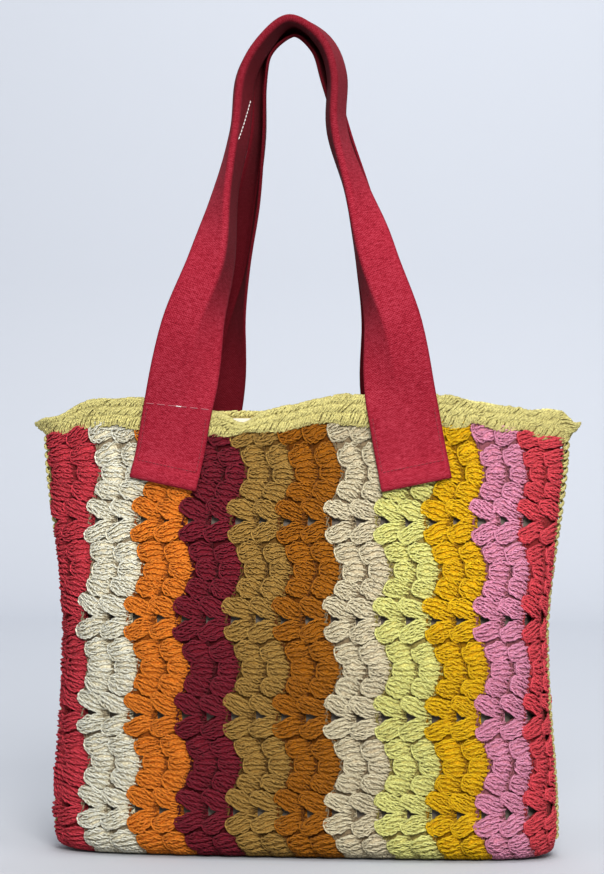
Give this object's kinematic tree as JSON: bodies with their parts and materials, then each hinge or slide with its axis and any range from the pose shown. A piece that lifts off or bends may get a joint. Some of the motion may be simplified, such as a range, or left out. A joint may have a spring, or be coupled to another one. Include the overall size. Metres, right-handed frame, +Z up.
{
  "type": "crochet tote bag",
  "caption": "Open crochet tote bag in lengthwise cluster ripple bands of many colours, with a yarn edging, a cotton lining and two webbing handles.",
  "frame": {"origin": "on the table, under the middle of the bag's box", "axes": "+Z up to the handles, +X along the mouth from left to right, -Y towards the front"},
  "size_m": [0.396, 0.1224, 0.6004],
  "materials": {
    "yarn_red": "soft twisted yarn, matt",
    "yarn_white": "soft twisted yarn, matt",
    "yarn_orange": "soft twisted yarn, matt",
    "yarn_burgundy": "soft twisted yarn, matt",
    "yarn_khaki": "soft twisted yarn, matt",
    "yarn_brown": "soft twisted yarn, matt",
    "yarn_ivory": "soft twisted yarn, matt",
    "yarn_pale_yellow": "soft twisted yarn, matt",
    "yarn_mustard": "soft twisted yarn, matt",
    "yarn_pink": "soft twisted yarn, matt",
    "yarn_edging": "soft twisted yarn, matt",
    "lining_cloth": "plain woven cotton",
    "webbing": "woven cotton webbing, matt"
  },
  "bodies": {
    "root": {"band_01_red": "yarn_red", "band_02_white": "yarn_white", "band_03_orange": "yarn_orange", "band_04_burgundy": "yarn_burgundy", "band_05_khaki": "yarn_khaki", "band_06_brown": "yarn_brown", "band_07_ivory": "yarn_ivory", "band_08_pale_yellow": "yarn_pale_yellow", "band_09_mustard": "yarn_mustard", "band_10_pink": "yarn_pink", "band_11_red": "yarn_red", "side_join_left": "yarn_edging", "side_join_right": "yarn_edging", "mouth_edging": "yarn_edging", "lining": "lining_cloth", "front_handle": "webbing", "back_handle": "webbing"}
  },
  "joints": []
}
